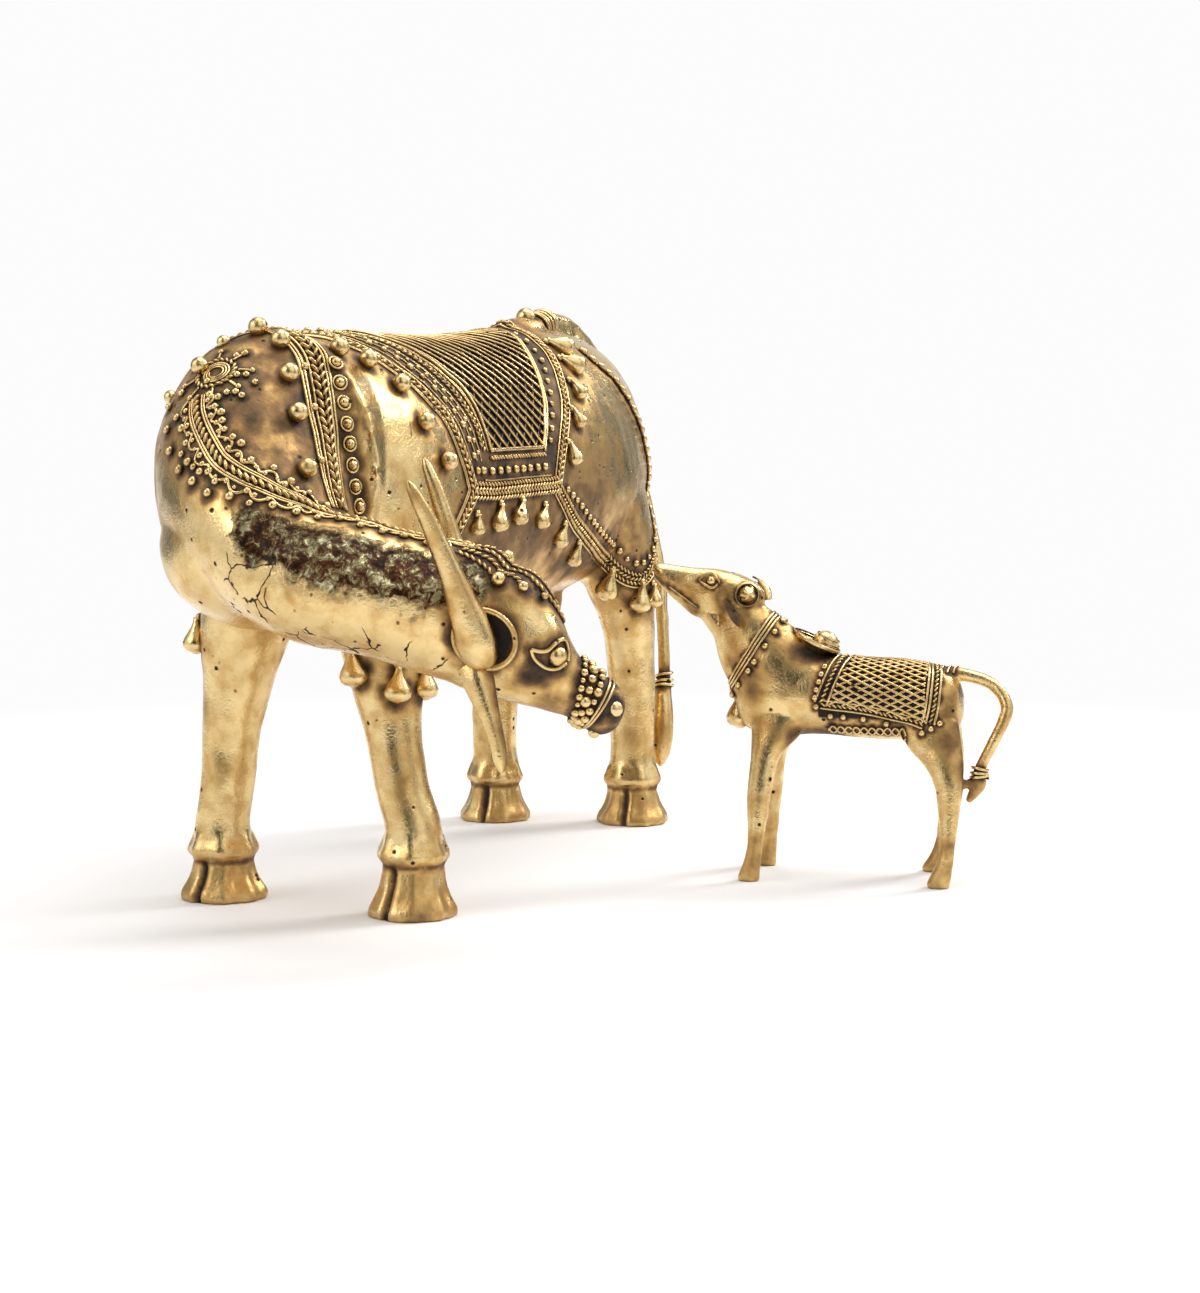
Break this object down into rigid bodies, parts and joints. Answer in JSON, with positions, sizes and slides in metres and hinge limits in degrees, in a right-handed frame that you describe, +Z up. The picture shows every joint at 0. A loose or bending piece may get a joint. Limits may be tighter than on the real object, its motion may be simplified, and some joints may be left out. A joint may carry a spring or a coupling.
{
  "type": "brass cow and calf statue",
  "caption": "Lost-wax brass cow turning her decorated head back to a small calf that stands at her flank.",
  "frame": {"origin": "on the surface the pair stands on, at the middle of the pair's bounding box", "axes": "+X from the cow's chest to her rump, +Z up, -Y the side the calf stands on"},
  "size_m": [0.3312, 0.2666, 0.22],
  "materials": {
    "cow_brass": "aged cast brass, polished on the high places, brown patina in the recesses",
    "calf_brass": "aged cast brass, polished on the high places, brown patina in the recesses"
  },
  "bodies": {
    "root": {"cow": "cow_brass", "calf": "calf_brass"}
  },
  "joints": []
}
